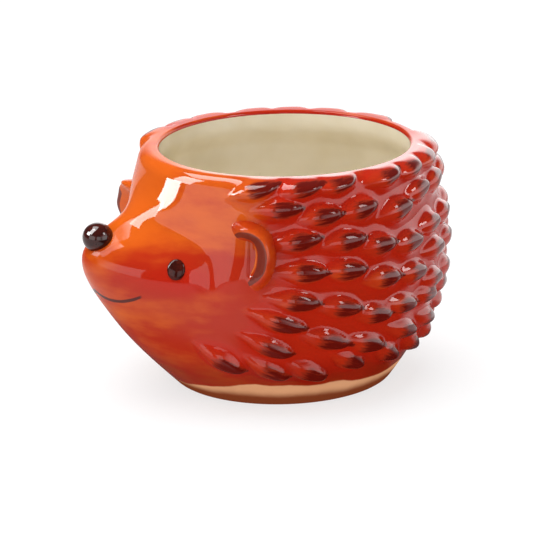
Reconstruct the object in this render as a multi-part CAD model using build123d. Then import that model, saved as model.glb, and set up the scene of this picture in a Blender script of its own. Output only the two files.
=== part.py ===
"""Hedgehog planter: a slip-cast ceramic pot with a face in front and rows of quills round the back.

The animal faces -Y, its left flank is +X and +Z is up.  The pieces are drawn round the pot's own
upright axis and then moved, so that the origin is the middle of the whole, on the table.  All sizes
are millimetres and all angles are degrees, counted from straight ahead.
"""
import math
import os

from build123d import *

# Overall pot
HEIGHT = 109.5
RIM_HALF_WIDTH = 61.0
FOOT_HALF_WIDTH = 47.0
BELLY_SWELL = 7.0
BELLY_HALF_WIDTH = RIM_HALF_WIDTH + BELLY_SWELL
LENGTH_TO_WIDTH = 1.07

# Midline of the head: how far each point stands beyond the one before it, rim to muzzle and back to the chin
FOOT_FORWARD = 1.5
RIM_FORWARD = 1.7
BROW_FORWARD = 6.0
BRIDGE_FORWARD = 10.6
MUZZLE_FORWARD = 17.3
THROAT_BACK = 10.5
CHIN_BACK = 12.4

# The same points, measured forward from the pot's axis
FOOT_REACH = FOOT_HALF_WIDTH * LENGTH_TO_WIDTH + FOOT_FORWARD
RIM_REACH = RIM_HALF_WIDTH * LENGTH_TO_WIDTH + RIM_FORWARD
BROW_REACH = RIM_REACH + BROW_FORWARD
BRIDGE_REACH = BROW_REACH + BRIDGE_FORWARD
MUZZLE_REACH = BRIDGE_REACH + MUZZLE_FORWARD
THROAT_REACH = MUZZLE_REACH - THROAT_BACK
CHIN_REACH = THROAT_REACH - CHIN_BACK

# Levels of the drawn outline, as shares of the height
HEEL_LEVEL = 0.08
CHIN_LEVEL = 0.25
THROAT_LEVEL = 0.40
BELLY_LEVEL = 0.57
MUZZLE_LEVEL = 0.65
BRIDGE_LEVEL = 0.78
BROW_LEVEL = 0.86
SHOULDER_LEVEL = 0.82

# Flank, as steps from the foot's half width and from the belly's
HEEL_FLARE = 5.5
CHEST_FLARE = 9.0
SHOULDER_FALL = 2.4

# How far round the pot the head spreads, from foot to rim
FOOT_SPREAD = 60.0
CHIN_SPREAD = 46.0
THROAT_SPREAD = 33.0
MUZZLE_SPREAD = 22.0
BRIDGE_SPREAD = 12.3
BROW_SPREAD = 22.8
RIM_SPREAD = 47.0
SPREAD_POWER = 1.6

# Wall and foot
WALL = 6.0
LIP_WIDTH = 7.1
LIP_DEPTH = 6.0
FLOOR = 7.0
FLOOR_ROUND = 9.0
HEAD_HOLLOW = 0.85
OUTER_LIP_RADIUS = 2.2
INNER_LIP_RADIUS = 1.6
FOOT_RING_WIDTH = 8.0
FOOT_RECESS = 2.0
SEAT_GAP = 0.2

# Nose
NOSE_RADIUS = 6.9
NOSE_SET_BACK = 5.5
NOSE_LEVEL = 0.72

# Eyes
EYE_ANGLE = 24.0
EYE_LEVEL = 0.635
EYE_WIDTH = 8.2
EYE_HEIGHT = 9.6
EYE_PROUD = 1.4
EYE_DOME_RADIUS = 12.0

# Ears
EAR_ANGLE = 47.5
EAR_LEVEL = 0.705
EAR_WIDTH = 6.8
EAR_HEIGHT = 22.5
EAR_RIM = 4.0
EAR_LIFT = 0.6
EAR_TILT = 28.0
EAR_BOTTOM_TURN = -78.0
EAR_SWEEP = 190.0

# Quills
QUILL_LENGTH = 21.0
QUILL_WIDTH = 9.4
QUILL_ROOT_SINK = 3.0
QUILL_TIP_LIFT = 2.0
QUILL_ROOT_TAPER = 0.35
QUILL_TIP_TAPER = 0.9

# Each row: first tip angle, step, quills a side, tip level, fall per degree, stagger, lean
QUILL_ROWS = {
    "quill_row_1": (57.0, 17.6, 7, 0.962, 0.0, 0.0, 12.0),
    "quill_row_2": (67.0, 15.7, 7, 0.866, 0.0, -0.030, 5.0),
    "quill_row_3": (135.0, 15.6, 3, 0.738, 0.0, 0.0, 4.0),
    "quill_row_4": (74.0, 15.5, 7, 0.762, 0.0023, 0.0, 6.0),
    "quill_row_5": (75.5, 15.4, 7, 0.628, 0.0024, 0.0, -3.0),
    "quill_row_6": (73.0, 15.2, 7, 0.492, 0.0019, 0.0, -9.0),
    "quill_row_7": (68.0, 17.5, 7, 0.397, 0.0019, 0.0, -17.0),
    "quill_row_8": (63.0, 16.4, 1, 0.278, 0.0, 0.0, -25.0),
    "quill_row_9": (45.0, 16.4, 8, 0.182, 0.0, 0.0, -22.0),
}
ROW_LEVEL_OFF_ANGLE = 125.0

# Drawing
SECTION_SHARES = (0.0, 0.05, 0.12, 0.22, 0.34, 0.46, 0.56, 0.65, 0.72, 0.78, 0.84, 0.92, 1.0)
SECTION_POINTS = 28
POINTS_EVENNESS = 0.5
BISECTIONS = 36
BEZIER_CROWN = 0.75
HALF_TURN = 180.0


def upright_curve(*points):
    """Draw a smooth upright curve through (distance out, share of the height) points."""
    return Spline(*[(out, share * HEIGHT) for out, share in points])


FLANK_CURVE = upright_curve(
    (FOOT_HALF_WIDTH, 0.0),
    (FOOT_HALF_WIDTH + HEEL_FLARE, HEEL_LEVEL),
    (FOOT_HALF_WIDTH + HEEL_FLARE + CHEST_FLARE, CHIN_LEVEL),
    (BELLY_HALF_WIDTH, BELLY_LEVEL),
    (BELLY_HALF_WIDTH - SHOULDER_FALL, SHOULDER_LEVEL),
    (RIM_HALF_WIDTH, 1.0),
)
FACE_CURVE = upright_curve(
    (FOOT_REACH, 0.0),
    (CHIN_REACH, CHIN_LEVEL),
    (THROAT_REACH, THROAT_LEVEL),
    (MUZZLE_REACH, MUZZLE_LEVEL),
    (BRIDGE_REACH, BRIDGE_LEVEL),
    (BROW_REACH, BROW_LEVEL),
    (RIM_REACH, 1.0),
)
SPREAD_CURVE = upright_curve(
    (FOOT_SPREAD, 0.0),
    (CHIN_SPREAD, CHIN_LEVEL),
    (THROAT_SPREAD, THROAT_LEVEL),
    (MUZZLE_SPREAD, MUZZLE_LEVEL),
    (BRIDGE_SPREAD, BRIDGE_LEVEL),
    (BROW_SPREAD, BROW_LEVEL),
    (RIM_SPREAD, 1.0),
)


def read_off(curve, level):
    """Read how far out an upright curve stands at one height."""
    low, high = 0.0, 1.0
    for _ in range(BISECTIONS):
        middle = (low + high) / 2
        if (curve @ middle).Y < level:
            low = middle
        else:
            high = middle
    return (curve @ high).X


def oval_radius(angle, half_length, half_width):
    """Distance from the middle of an oval to its edge."""
    along = half_width * math.cos(math.radians(angle))
    across = half_length * math.sin(math.radians(angle))
    return half_length * half_width / math.hypot(along, across)


def bell(share):
    """Fall-off of the head from the midline to the flank."""
    return (1 + share * share) ** -SPREAD_POWER


def heading(angle):
    """Level direction out from the pot's axis, 0 being straight ahead."""
    return Vector(math.sin(math.radians(angle)), -math.cos(math.radians(angle)), 0)


def section(level, inset=0.0, head_share=1.0, shape_level=None):
    """Draw one closed level section of the pot as a face."""
    at = level if shape_level is None else shape_level
    half_width = read_off(FLANK_CURVE, at)
    half_length = half_width * LENGTH_TO_WIDTH
    head = (read_off(FACE_CURVE, at) - half_length) * head_share
    spread = read_off(SPREAD_CURVE, at)
    points = []
    for index in range(SECTION_POINTS):
        share = 2 * index / SECTION_POINTS - 1
        angle = HALF_TURN * share * (POINTS_EVENNESS + (1 - POINTS_EVENNESS) * share * share)
        radius = oval_radius(angle, half_length - inset, half_width - inset) + head * bell(angle / spread)
        points.append(heading(angle) * radius + Vector(0, 0, level))
    steps = [index / SECTION_POINTS for index in range(SECTION_POINTS + 1)]
    return Face(Wire(Edge.make_spline(points, periodic=True, parameters=steps)))


def make_outside(growth=0.0):
    """Loft the whole outside of the pot, solid and with a square rim, grown all round if asked."""
    return loft([section(share * HEIGHT, -growth) for share in SECTION_SHARES])


def make_cavity():
    """Loft the hollow inside, following the outside at the wall's thickness up to the lip."""
    lip_foot = HEIGHT - LIP_DEPTH
    under_lip = lip_foot - 2 * LIP_DEPTH
    floor_top = FLOOR + FLOOR_ROUND
    inside = [section(FLOOR, WALL + FLOOR_ROUND, HEAD_HOLLOW / 2, floor_top)]
    inside.append(section(FLOOR + FLOOR_ROUND / 4, WALL + FLOOR_ROUND / 3, HEAD_HOLLOW / 2, floor_top))
    inside.append(section(floor_top, WALL, HEAD_HOLLOW))
    for share in SECTION_SHARES:
        if floor_top + FLOOR_ROUND / 2 < share * HEIGHT < under_lip - LIP_DEPTH:
            inside.append(section(share * HEIGHT, WALL, HEAD_HOLLOW))
    inside.append(section(under_lip, WALL, HEAD_HOLLOW / 2))
    inside.append(section(lip_foot, LIP_WIDTH, 0.0, HEIGHT))
    inside.append(section(HEIGHT, LIP_WIDTH, 0.0, HEIGHT))
    return loft(inside)


def make_foot_recess():
    """Shallow hollow under the foot that leaves a ring to stand on."""
    half_width = FOOT_HALF_WIDTH - FOOT_RING_WIDTH
    half_length = FOOT_HALF_WIDTH * LENGTH_TO_WIDTH - FOOT_RING_WIDTH
    return extrude(Ellipse(half_width, half_length), FOOT_RECESS)


def make_pot_wall(outside):
    """Hollow the outside, round both edges of the lip and cut the foot."""
    pot = outside - make_cavity()
    rim = pot.faces().filter_by(Plane.XY).sort_by(Axis.Z)[-1]
    pot = fillet(rim.outer_wire().edges(), OUTER_LIP_RADIUS)
    rim = pot.faces().filter_by(Plane.XY).sort_by(Axis.Z)[-1]
    pot = fillet(rim.inner_wires()[0].edges(), INNER_LIP_RADIUS)
    return pot - make_foot_recess()


def seat(outside, angle, level):
    """Find where a piece sits on the outside and which way the wall faces there."""
    out = heading(angle)
    hits = outside.find_intersection_points(Axis((0, 0, level), out))
    return max(hits, key=lambda hit: hit[0].dot(out))


def make_nose(outside):
    """Ball of the nose, resting on the end of the muzzle."""
    return Pos(0, NOSE_SET_BACK - MUZZLE_REACH, NOSE_LEVEL * HEIGHT) * Sphere(NOSE_RADIUS) - outside


def make_eye(outside):
    """Low oval dome of the left eye."""
    point, facing = seat(outside, EYE_ANGLE, EYE_LEVEL * HEIGHT)
    across = Vector(0, 0, 1).cross(facing)
    oval = Plane(point, x_dir=across, z_dir=facing) * Ellipse(EYE_WIDTH / 2, EYE_HEIGHT / 2)
    stud = extrude(oval, EYE_HEIGHT / 2, both=True)
    dome = Pos(point - facing * (EYE_DOME_RADIUS - EYE_PROUD)) * Sphere(EYE_DOME_RADIUS)
    return (stud & dome) - outside


def make_ear(outside):
    """Raised rim of the left ear, curled like a C that opens towards the face and tilted out at its back."""
    point, facing = seat(outside, EAR_ANGLE, EAR_LEVEL * HEIGHT)
    backward = Vector(0, 0, 1).cross(facing)
    tilt = Axis((0, 0, 0), facing.cross(backward))
    curl = EllipticalCenterArc((0, 0), EAR_WIDTH, EAR_HEIGHT / 2, EAR_BOTTOM_TURN, arc_size=EAR_SWEEP)
    rim = sweep(Plane(curl @ 0, z_dir=curl % 0) * Circle(EAR_RIM), curl)
    rim += Pos(curl @ 0) * Sphere(EAR_RIM)
    rim += Pos(curl @ 1) * Sphere(EAR_RIM)
    middle = point + facing * EAR_LIFT
    flap = Plane(middle, x_dir=backward.rotate(tilt, -EAR_TILT), z_dir=facing.rotate(tilt, -EAR_TILT))
    return flap * rim - outside


def make_quill(outside, tip_angle, tip_level, lean):
    """One leaf-shaped quill, from a root sunk in the wall to a lifted tip."""
    tip, tip_facing = seat(outside, tip_angle, tip_level)
    turn = math.degrees(QUILL_LENGTH * math.cos(math.radians(lean)) / math.hypot(tip.X, tip.Y))
    root_level = tip_level - QUILL_LENGTH * math.sin(math.radians(lean))
    root, root_facing = seat(outside, tip_angle - turn, root_level)
    root -= root_facing * QUILL_ROOT_SINK
    tip += tip_facing * QUILL_TIP_LIFT
    length = (tip - root).length
    handle = QUILL_WIDTH / 2 / BEZIER_CROWN
    back = Bezier((0, 0), (length * QUILL_ROOT_TAPER, handle), (length * QUILL_TIP_TAPER, handle), (length, 0))
    leaf = revolve(make_face(back + Line((length, 0), (0, 0))), Axis.X)
    return Plane(root, x_dir=tip - root, z_dir=root_facing.cross(tip - root)) * leaf - outside


def make_quill_row(outside, first, step, count, level, fall, stagger, lean):
    """One row of quills on both flanks, pointing to a seam at the back."""
    left = []
    for index in range(count):
        tip_angle = first + step * index
        slope = fall * (min(tip_angle, max(ROW_LEVEL_OFF_ANGLE, first)) - first)
        tip_share = level - slope + stagger * (index % 2)
        left.append(make_quill(outside, tip_angle, tip_share * HEIGHT, lean))
    return left + [mirror(quill, Plane.YZ) for quill in left]


def main():
    """Build every piece, move the middle of the whole to the origin and write one file for each."""
    seat_form = make_outside(SEAT_GAP)
    eye = make_eye(seat_form)
    ear = make_ear(seat_form)
    pieces = {
        "pot_wall": [make_pot_wall(make_outside())],
        "nose": [make_nose(seat_form)],
        "eye_left": [eye],
        "eye_right": [mirror(eye, Plane.YZ)],
        "ear_left": [ear],
        "ear_right": [mirror(ear, Plane.YZ)],
    }
    for name, row in QUILL_ROWS.items():
        pieces[name] = make_quill_row(seat_form, *row)
    nodes = {}
    for name, shapes in pieces.items():
        nodes[name] = Compound(children=[solid for shape in shapes for solid in shape.solids()])
    boxes = [node.bounding_box() for node in nodes.values()]
    middle = (min(box.min.Y for box in boxes) + max(box.max.Y for box in boxes)) / 2
    os.makedirs("parts", exist_ok=True)
    for name, node in nodes.items():
        placed = Pos(0, -middle, 0) * node
        placed.label = name
        export_step(placed, f"parts/{name}.step")


main()
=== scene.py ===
"""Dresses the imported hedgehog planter: glazed skin with its quills and ears, lining, foot, face and studio.

The animal faces -Y, its left flank is +X and +Z is up.  Shapes are worked out in millimetres from the
pot's own axis and written to the meshes in metres.
"""
from __future__ import annotations

import logging
import math
from dataclasses import dataclass
from enum import Enum
from typing import Sequence, Union

import bpy
import numpy as np
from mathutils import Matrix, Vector

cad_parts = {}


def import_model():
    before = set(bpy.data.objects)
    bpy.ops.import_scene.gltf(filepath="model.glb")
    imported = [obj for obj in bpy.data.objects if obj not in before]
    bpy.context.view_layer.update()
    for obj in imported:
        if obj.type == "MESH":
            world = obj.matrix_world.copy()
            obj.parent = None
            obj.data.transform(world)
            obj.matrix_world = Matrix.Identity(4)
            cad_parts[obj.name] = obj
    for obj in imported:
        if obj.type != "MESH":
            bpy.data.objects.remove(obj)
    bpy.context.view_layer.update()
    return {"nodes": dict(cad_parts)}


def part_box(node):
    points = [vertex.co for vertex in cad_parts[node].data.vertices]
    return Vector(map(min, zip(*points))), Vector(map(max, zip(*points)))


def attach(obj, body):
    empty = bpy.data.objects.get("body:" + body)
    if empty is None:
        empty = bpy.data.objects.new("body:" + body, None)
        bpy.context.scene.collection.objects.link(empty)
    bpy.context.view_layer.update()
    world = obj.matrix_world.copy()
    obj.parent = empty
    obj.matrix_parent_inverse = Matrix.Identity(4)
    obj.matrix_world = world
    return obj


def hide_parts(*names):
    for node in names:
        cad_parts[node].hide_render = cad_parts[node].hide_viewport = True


LOG = logging.getLogger("planter")
MM = 0.001
PER_METRE = 1000.0
BODY = "root"
IMAGE_SIDE = 533
Colour = tuple[float, float, float, float]
Number = Union[int, float]


class Slot(Enum):
    """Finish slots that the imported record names."""

    BODY = "body_glaze"
    DARK = "dark_glaze"


class LightUse(Enum):
    """What a studio light is for: everything, reflections only, or soft light without reflections."""

    ALL = "all"
    GLOSS = "gloss"
    SOFT = "soft"


class Side(Enum):
    """The two sides of the animal."""

    LEFT = 1
    RIGHT = -1


def srgb(red: Number, green: Number, blue: Number) -> Colour:
    """Turn a colour in picture values of 0 to 255 into shader values.

    Args:
        red: Red share of the colour.
        green: Green share of the colour.
        blue: Blue share of the colour.

    Returns:
        The colour with an alpha of one.
    """
    values = []
    for share in (red / 255, green / 255, blue / 255):
        values.append(share / 12.92 if share <= 0.04045 else ((share + 0.055) / 1.055) ** 2.4)
    return (values[0], values[1], values[2], 1.0)


def toward(turn: float, rise: float) -> Vector:
    """Direction at an azimuth and an elevation, both in radians."""
    return Vector((math.sin(turn) * math.cos(rise), -math.cos(turn) * math.cos(rise), math.sin(rise)))


def ramp(values: np.ndarray, low: float, high: float) -> np.ndarray:
    """Smooth step from 0 at low to 1 at high.

    Args:
        values: Numbers to map.
        low: Value that gives 0.
        high: Value that gives 1.

    Returns:
        Array of shares.
    """
    share = np.clip((values - low) / (high - low), 0.0, 1.0)
    return share * share * (3 - 2 * share)


class Wire:
    """One number in a shader: arithmetic on it adds Math nodes to its material."""

    def __init__(self, book: "NodeBook", socket: bpy.types.NodeSocket) -> None:
        """Keep the material's book and the socket that gives the number."""
        self.book = book
        self.socket = socket

    def _sum(self, operation: str, *values: Union["Wire", Number]) -> "Wire":
        """Add one Math node.

        Args:
            operation: Name of the node's operation.
            values: Its inputs in order.

        Returns:
            The node's result.
        """
        node = self.book.add("ShaderNodeMath", {"operation": operation}, dict(enumerate(values)))
        return Wire(self.book, node.outputs[0])

    def __add__(self, other: Union["Wire", Number]) -> "Wire":
        """Sum."""
        return self._sum("ADD", self, other)

    def __radd__(self, other: Number) -> "Wire":
        """Sum with a plain number first."""
        return self._sum("ADD", other, self)

    def __sub__(self, other: Union["Wire", Number]) -> "Wire":
        """Difference."""
        return self._sum("SUBTRACT", self, other)

    def __rsub__(self, other: Number) -> "Wire":
        """Difference with a plain number first."""
        return self._sum("SUBTRACT", other, self)

    def __mul__(self, other: Union["Wire", Number]) -> "Wire":
        """Product."""
        return self._sum("MULTIPLY", self, other)

    def __rmul__(self, other: Number) -> "Wire":
        """Product with a plain number first."""
        return self._sum("MULTIPLY", other, self)

    def __truediv__(self, other: Union["Wire", Number]) -> "Wire":
        """Quotient."""
        return self._sum("DIVIDE", self, other)

    def __abs__(self) -> "Wire":
        """Size without its sign."""
        return self._sum("ABSOLUTE", self)

    def most(self, other: Union["Wire", Number]) -> "Wire":
        """The larger of two numbers."""
        return self._sum("MAXIMUM", self, other)

    def root(self) -> "Wire":
        """Square root."""
        return self._sum("SQRT", self)

    def step(self, low: float, high: float) -> "Wire":
        """Smooth step from 0 at low to 1 at high.

        Args:
            low: Value that gives 0.
            high: Value that gives 1.

        Returns:
            The share, kept between 0 and 1.
        """
        first, last = (0.0, 1.0) if low < high else (1.0, 0.0)
        inputs = {"Value": self, "From Min": min(low, high), "From Max": max(low, high)}
        inputs.update({"To Min": first, "To Max": last})
        node = self.book.add("ShaderNodeMapRange", {"interpolation_type": "SMOOTHSTEP"}, inputs)
        return Wire(self.book, node.outputs["Result"])


class NodeBook:
    """A node tree that is being written."""

    def __init__(self, owner: Union[bpy.types.Material, bpy.types.World]) -> None:
        """Empty the tree of a new material or world.

        Args:
            owner: The material or world.
        """
        owner.use_nodes = True
        self.owner = owner
        self.tree = owner.node_tree
        self.tree.nodes.clear()

    @classmethod
    def material(cls, name: str) -> "NodeBook":
        """Start a new material."""
        return cls(bpy.data.materials.new(name))

    def add(self, kind: str, settings: dict, inputs: dict) -> bpy.types.Node:
        """Add any node.

        Args:
            kind: The node's type.
            settings: Properties that are set first.
            inputs: Values or links of its sockets, by name or number.

        Returns:
            The new node.
        """
        node = self.tree.nodes.new(kind)
        for key, value in settings.items():
            setattr(node, key, value)
        for key, value in inputs.items():
            target = node.inputs[key]
            source = value.socket if isinstance(value, Wire) else value
            if isinstance(source, bpy.types.NodeSocket):
                self.tree.links.new(source, target)
            else:
                target.default_value = source
        return node

    def parts(self, vector: bpy.types.NodeSocket) -> list[Wire]:
        """Split a vector.

        Args:
            vector: Socket of the vector.

        Returns:
            Its three numbers.
        """
        node = self.add("ShaderNodeSeparateXYZ", {}, {0: vector})
        return [Wire(self, socket) for socket in node.outputs]

    def attribute(self, name: str) -> list[Wire]:
        """Read a vector that the mesh carries.

        Args:
            name: The attribute's name.

        Returns:
            Its three numbers.
        """
        return self.parts(self.add("ShaderNodeAttribute", {"attribute_name": name}, {}).outputs["Vector"])

    def place(self) -> bpy.types.NodeSocket:
        """The point being shaded, in metres."""
        return self.add("ShaderNodeTexCoord", {}, {}).outputs["Object"]

    def join(self, *numbers: Union[Wire, Number]) -> bpy.types.NodeSocket:
        """Make a vector of three numbers."""
        return self.add("ShaderNodeCombineXYZ", {}, dict(enumerate(numbers))).outputs[0]

    def noise(self, vector: bpy.types.NodeSocket, scale: float, detail: float = 3.0) -> Wire:
        """Cloudy noise round one half.

        Args:
            vector: Where it is read.
            scale: Its fineness.
            detail: Its octaves.

        Returns:
            A number from about 0 to 1.
        """
        inputs = {"Vector": vector, "Scale": scale, "Detail": detail}
        return Wire(self, self.add("ShaderNodeTexNoise", {}, inputs).outputs["Fac"])

    def mix(self, share: Union[Wire, float], first: object, second: object) -> bpy.types.NodeSocket:
        """Blend two colours.

        Args:
            share: Part of the second colour.
            first: Colour or colour socket.
            second: Colour or colour socket.

        Returns:
            Socket of the blended colour.
        """
        node = self.add("ShaderNodeMix", {"data_type": "RGBA"}, {0: share, 6: first, 7: second})
        return node.outputs[2]

    def shader(self) -> bpy.types.Node:
        """The surface shader of a finished material."""
        return next(node for node in self.tree.nodes if node.type == "BSDF_PRINCIPLED")

    def finish(self, colour: object, roughness: object, coat: object, height: Union[Wire, None],
               depth: float, coat_roughness: float = 0.03, base_gloss: float = 0.0) -> bpy.types.Material:
        """Close the material with its shader.

        Args:
            colour: Base colour.
            roughness: Roughness.
            coat: Weight of the clear coat.
            height: Relief for the bump, if any.
            depth: Depth of the bump in metres.
            coat_roughness: Roughness of the clear coat.
            base_gloss: Reflection of the layer under the coat.

        Returns:
            The finished material.
        """
        inputs = {"Base Color": colour, "Roughness": roughness, "Coat Weight": coat}
        inputs.update({"Coat Roughness": coat_roughness, "Coat IOR": 1.5, "Specular IOR Level": base_gloss})
        if height is not None:
            bump = self.add("ShaderNodeBump", {}, {"Strength": 0.6, "Distance": depth, "Height": height})
            inputs["Normal"] = bump.outputs["Normal"]
        shader = self.add("ShaderNodeBsdfPrincipled", {}, inputs)
        self.add("ShaderNodeOutputMaterial", {}, {"Surface": shader.outputs[0]})
        return self.owner


@dataclass(frozen=True)
class SmileLine:
    """Painted smile: two arcs that meet under the nose, in millimetres."""

    low_level: float = 52.0
    low_out: float = 9.8
    curl: float = 0.0235
    end_out: float = 23.4
    half_thickness: float = 0.95
    softness: float = 0.22

    def mask(self, book: NodeBook, across: Wire, along: Wire, level: Wire) -> Wire:
        """Where the line is.

        Args:
            book: The material's book.
            across: Sideways place in millimetres.
            along: Place along the animal in millimetres, from the pot's axis.
            level: Height in millimetres.

        Returns:
            Share of paint.
        """
        out = abs(across)
        lift = (out - self.low_out) * (out - self.low_out) * self.curl
        miss = abs(level - self.low_level - lift)
        slope = abs(out - self.low_out) * (2 * self.curl)
        miss = miss * (1 - slope * 0.35)
        thick = (1 - out / (self.end_out * 1.12)) * 0.55 + 0.5
        wobble = book.noise(book.join(across * 0.25, level * 0.25, 0.0), 1.0) - 0.5
        edge = miss / (thick * self.half_thickness) + wobble * 0.5
        line = edge.step(1 + self.softness, 1 - self.softness)
        return line * out.step(self.end_out + 0.6, self.end_out - 0.6) * along.step(-40.0, -60.0)


@dataclass(frozen=True)
class BodyGlaze:
    """Brushed orange and red glaze with dark quill tips, ending above a bare clay foot."""

    axis_y: float
    smile: SmileLine = SmileLine()
    orange: Colour = srgb(198, 86, 20)
    red_orange: Colour = srgb(165, 38, 15)
    deep_red: Colour = srgb(171, 30, 12)
    brown: Colour = srgb(122, 35, 19)
    dark: Colour = srgb(86, 10, 6)
    ear_brown: Colour = srgb(100, 42, 34)
    # Paler ochre: painted highlight in the ear's groove.
    ear_ochre: Colour = srgb(214, 112, 48)
    smile_brown: Colour = srgb(66, 22, 18)
    clay: Colour = srgb(212, 155, 114)
    # Darker clay, used for random mottling and for painted shade near the table.
    clay_mottle_and_shade: Colour = srgb(122, 58, 32)
    amber: Colour = srgb(196, 86, 30)
    coat: float = 0.55
    lip_coat: float = -0.15
    lip_pool: float = 0.5
    back_coat: float = 0.22
    nose_reach: float = 95.4
    nose_level: float = 78.8
    thin_from: float = 16.0
    thin_to: float = 10.5

    def make(self) -> bpy.types.Material:
        """Build the material.

        Returns:
            The finished material.
        """
        book = NodeBook.material("body_glaze")
        place = book.place()
        along, across, stroke = book.attribute("quill")
        pool_and_shade, forehead, ear = book.attribute("coat")
        band, lip, _ = book.attribute("band")
        x, y, z = book.parts(place)
        cloud = book.noise(place, 38.0, 4.0)
        brush = book.noise(book.join(x, y, z * 3.0), 70.0, 5.0)
        # Deep red where glaze pools in the relief, and as painted shade round the eyes.
        colour = book.mix((pool_and_shade + (cloud - 0.5) * 0.5).step(0.1, 0.9), self.red_orange, self.deep_red)
        mottle = book.noise(book.join(x, y, z * 1.6), 24.0, 6.0)
        thin = (mottle + (brush - 0.5) * 0.5).step(0.44, 0.82) * pool_and_shade.step(0.6, 0.1)
        colour = book.mix(thin * 0.6, colour, self.amber)
        warm = (forehead + (brush - 0.5) * 0.7 + (cloud - 0.5) * 0.4).step(0.15, 0.95)
        colour = book.mix(warm, colour, self.orange)
        # Painted shade: below 30 mm the glaze is mixed towards the dark colour, standing in for the lower body
        # getting less light.
        colour = book.mix((z * PER_METRE).step(30.0, 14.0) * (brush * 0.5 + 0.15), colour, self.dark)
        streak = book.noise(book.join(along * 0.10, across * 1.05, 0.0), 1.0, 4.0)
        fleck = book.noise(book.join(along * 0.35, across * 2.2, 4.0), 1.0, 3.0)
        wash = (stroke + (streak - 0.5) * 1.3).step(0.2, 0.5)
        ink = (stroke + (streak - 0.5) * 1.7 + (fleck - 0.5) * 0.8).step(0.5, 0.9)
        colour = book.mix(wash * 0.8, colour, self.brown)
        colour = book.mix(ink * 0.9, colour, self.dark)
        # Painted highlight: a paler ochre strip just inside the ear's stroke, for light caught in the groove.
        colour = book.mix((ear + (streak - 0.5) * 0.3).step(-0.25, -0.75) * 0.8, colour, self.ear_ochre)
        ear_edge = (ear + (fleck - 0.5) * 0.2).step(0.35, 0.6)
        colour = book.mix(ear_edge * (0.8 + streak * 0.2), colour, self.ear_brown)
        smile = self.smile.mask(book, x * PER_METRE, y * PER_METRE - self.axis_y, z * PER_METRE)
        colour = book.mix(smile * 0.94, colour, self.smile_brown)
        ragged = band + (book.noise(place, 90.0) - 0.5) * 1.8
        clay = ragged.step(-0.5, 0.5)
        # Painted shade: the bare clay darkens towards the table, on top of its random clouds.
        low = (z * PER_METRE).step(10.0, 0.0)
        shade = book.mix((cloud * 0.9 + low * 1.4 - 0.4).step(0.0, 1.0), self.clay, self.clay_mottle_and_shade)
        colour = book.mix(clay, colour, shade)
        roughness = clay * 0.5 + (brush * 0.05 + 0.07)
        ripple = book.noise(place, 120.0, 2.0) + book.noise(place, 900.0, 2.0) * clay * 0.4
        back = (y * PER_METRE - self.axis_y).step(0.0, 25.0) * (1 - lip)
        ahead, above = y * PER_METRE + (self.nose_reach - self.axis_y), z * PER_METRE - self.nose_level
        gap = (x * x * PER_METRE**2 + ahead * ahead + above * above).root()
        pooled = (x * PER_METRE).step(0.0, 30.0) * self.lip_pool + self.lip_coat
        coat = (1 - clay) * (lip * pooled + back * self.back_coat + self.coat)
        coat = coat * (1 - gap.step(self.thin_from, self.thin_to) * 0.8)
        return book.finish(colour, roughness, coat, ripple, 0.0004)


@dataclass(frozen=True)
class LiningGlaze:
    """Cream glaze of the inside, with faint clouds and specks."""

    cream: Colour = srgb(239, 231, 213)
    shade: Colour = srgb(221, 209, 180)
    speck: Colour = srgb(150, 128, 96)

    def make(self) -> bpy.types.Material:
        """Build the material."""
        book = NodeBook.material("lining_glaze")
        place = book.place()
        cloud = book.noise(place, 28.0, 3.0)
        colour = book.mix((cloud * 1.8 - 0.4).step(0.0, 1.0), self.cream, self.shade)
        specks = book.noise(place, 420.0, 2.0).step(0.74, 0.8)
        colour = book.mix(specks * 0.12, colour, self.speck)
        return book.finish(colour, cloud * 0.08 + 0.14, 0.8, cloud, 0.0006)


@dataclass(frozen=True)
class BareClay:
    """Unglazed clay of the underside."""

    clay: Colour = srgb(222, 176, 138)
    shade: Colour = srgb(198, 142, 102)

    def make(self) -> bpy.types.Material:
        """Build the material."""
        book = NodeBook.material("bare_clay")
        place = book.place()
        grain = book.noise(place, 900.0, 4.0)
        cloud = book.noise(place, 45.0, 3.0)
        colour = book.mix(cloud * 0.7 + grain * 0.3, self.clay, self.shade)
        return book.finish(colour, grain * 0.15 + 0.6, 0.0, grain, 0.0003)


@dataclass(frozen=True)
class DarkGlaze:
    """Dark brown glaze of the nose and the eyes, thinner and redder in clouds and streaks."""

    name: str = "nose_glaze"
    coat: float = 0.8
    dark: Colour = srgb(38, 10, 8)
    thin: Colour = srgb(84, 26, 16)

    def make(self) -> bpy.types.Material:
        """Build the material."""
        book = NodeBook.material(self.name)
        place = book.place()
        cloud = book.noise(place, 160.0, 3.0)
        x, y, z = book.parts(place)
        streak = book.noise(book.join(x * 900.0, y * 300.0, z * 900.0), 1.0, 3.0)
        colour = book.mix((cloud * 0.9 + streak * 0.5 - 0.35).step(0.1, 0.9), self.dark, self.thin)
        return book.finish(colour, cloud * 0.05 + 0.05, self.coat, cloud, 0.0003, 0.02)


@dataclass(frozen=True)
class StudioWhite:
    """Matte white of a table lit from below, with the faintest unevenness."""

    light: Colour = srgb(146, 146, 146)
    shade: Colour = srgb(142, 142, 143)
    glow: float = 0.71

    def make(self) -> bpy.types.Material:
        """Build the material."""
        book = NodeBook.material("studio_white")
        cloud = book.noise(book.place(), 3.0, 2.0)
        material = book.finish(book.mix(cloud, self.light, self.shade), 0.6, 0.0, None, 0.0)
        shader = book.shader()
        shader.inputs["Emission Color"].default_value = (1.0, 1.0, 1.0, 1.0)
        shader.inputs["Emission Strength"].default_value = self.glow
        return material


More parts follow.
